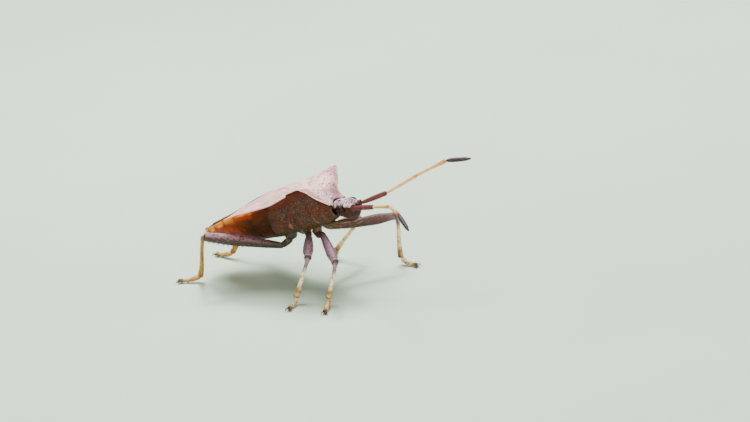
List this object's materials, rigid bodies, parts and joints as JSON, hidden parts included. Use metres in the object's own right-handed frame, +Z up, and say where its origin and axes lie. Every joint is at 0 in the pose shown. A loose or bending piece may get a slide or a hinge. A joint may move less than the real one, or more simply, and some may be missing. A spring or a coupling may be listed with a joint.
{
  "type": "squash bug",
  "caption": "Life-size dock-type squash bug standing on all its feet, with angular shoulders, folded wings, banded abdomen rim and long jointed feelers held forward.",
  "frame": {"origin": "on the floor, under the middle of the animal's bounding box", "axes": "+X towards the head, +Y to the animal's left, +Z up"},
  "size_m": [0.022, 0.01, 0.0086],
  "materials": {
    "back_shell": "dull, finely pitted",
    "side_shell": "dull, finely pitted",
    "belly_shell": "satin",
    "membrane": "glossy, thin",
    "head_shell": "dull, granular",
    "eye": "glossy, faceted",
    "antenna_red": "satin",
    "antenna_pale": "satin",
    "antenna_dark": "downy",
    "thigh": "satin, speckled",
    "hind_thigh": "satin, speckled",
    "shin": "satin",
    "foot": "satin"
  },
  "bodies": {
    "root": {"abdomen": "belly_shell", "forewing_left": "back_shell", "forewing_right": "back_shell", "wing_membrane": "membrane", "scutellum": "back_shell", "pronotum": "back_shell", "metathorax": "side_shell", "mesothorax": "side_shell", "prothorax": "side_shell", "head": "head_shell", "rostrum": "head_shell", "eye_left": "eye", "antenna_left_1": "antenna_red", "antenna_left_2": "antenna_pale", "antenna_left_3": "antenna_pale", "antenna_left_4": "antenna_dark", "coxa_front_left": "side_shell", "femur_front_left": "thigh", "tibia_front_left": "shin", "tarsus_front_left": "foot", "coxa_mid_left": "side_shell", "femur_mid_left": "thigh", "tibia_mid_left": "shin", "tarsus_mid_left": "foot", "coxa_hind_left": "side_shell", "femur_hind_left": "hind_thigh", "tibia_hind_left": "shin", "tarsus_hind_left": "foot", "eye_right": "eye", "antenna_right_1": "antenna_red", "antenna_right_2": "antenna_pale", "antenna_right_3": "antenna_pale", "antenna_right_4": "antenna_dark", "coxa_front_right": "side_shell", "femur_front_right": "thigh", "tibia_front_right": "shin", "tarsus_front_right": "foot", "coxa_mid_right": "side_shell", "femur_mid_right": "thigh", "tibia_mid_right": "shin", "tarsus_mid_right": "foot", "coxa_hind_right": "side_shell", "femur_hind_right": "hind_thigh", "tibia_hind_right": "shin", "tarsus_hind_right": "foot"}
  },
  "joints": []
}
